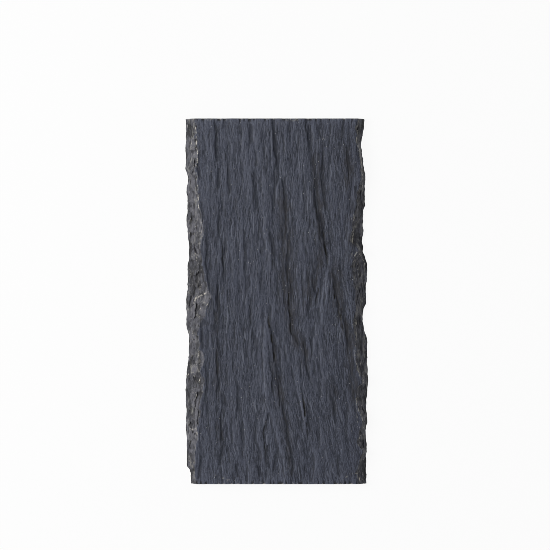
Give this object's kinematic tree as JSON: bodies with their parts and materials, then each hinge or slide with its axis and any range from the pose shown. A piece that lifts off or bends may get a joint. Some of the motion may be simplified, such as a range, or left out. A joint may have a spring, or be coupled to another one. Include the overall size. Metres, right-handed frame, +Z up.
{
  "type": "slate slab",
  "caption": "Flat rectangular slab of riven slate with sawn ends and hand-flaked long edges, laid down as a serving, display or edging piece.",
  "frame": {"origin": "middle of the underside, in the plane that the slab rests on", "axes": "+Z up out of the riven face, +Y along the grain and the long edges, +X across the slab"},
  "size_m": [0.1498, 0.3, 0.01],
  "materials": {
    "slate": "riven, matt, dark blue grey with fine dark grain lines; paler warm grey on the flaked edges"
  },
  "bodies": {
    "root": {"slate_slab": "slate"}
  },
  "joints": []
}
